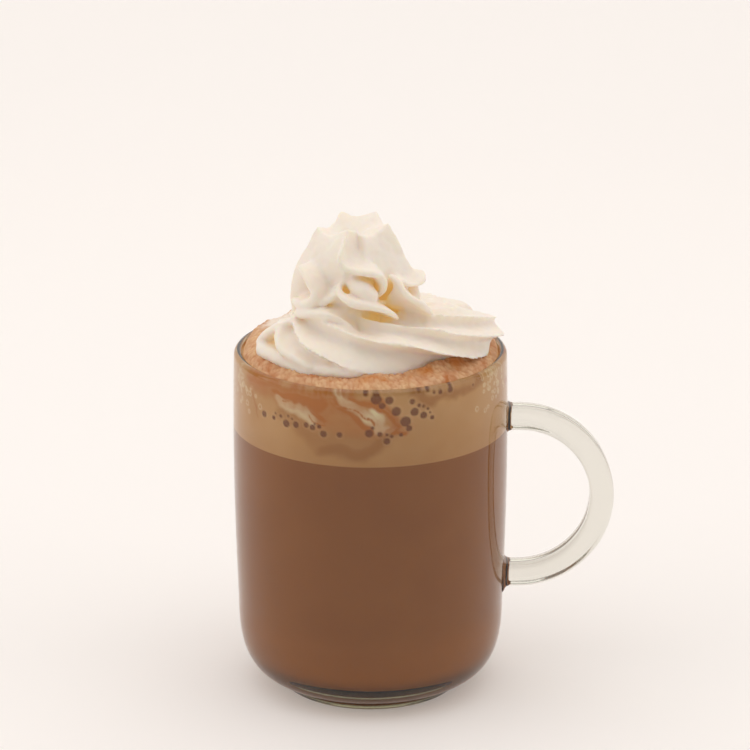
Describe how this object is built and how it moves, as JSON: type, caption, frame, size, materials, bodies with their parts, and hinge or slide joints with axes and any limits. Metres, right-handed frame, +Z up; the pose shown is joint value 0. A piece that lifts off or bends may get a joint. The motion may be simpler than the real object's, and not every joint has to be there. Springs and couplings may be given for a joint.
{
  "type": "hot chocolate",
  "caption": "Hot chocolate in a clear glass mug with a ring handle, with a milk foam layer and a piped swirl of whipped cream that stands above the rim.",
  "frame": {"origin": "centre of the flat foot that the mug stands on", "axes": "+Z up along the mug's axis, +X towards the handle, -Y towards the side that is seen first"},
  "size_m": [0.1127, 0.081, 0.1435],
  "materials": {
    "glass": "clear polished soda-lime glass with a faint grey-green tint",
    "drink": "opaque milky brown chocolate drink behind glass",
    "foam": "fine milk foam stained with cocoa",
    "cream": "soft satin whipped cream"
  },
  "bodies": {
    "root": {"glass_mug": "glass", "hot_chocolate": "drink", "milk_foam": "foam", "whipped_cream": "cream"}
  },
  "joints": []
}
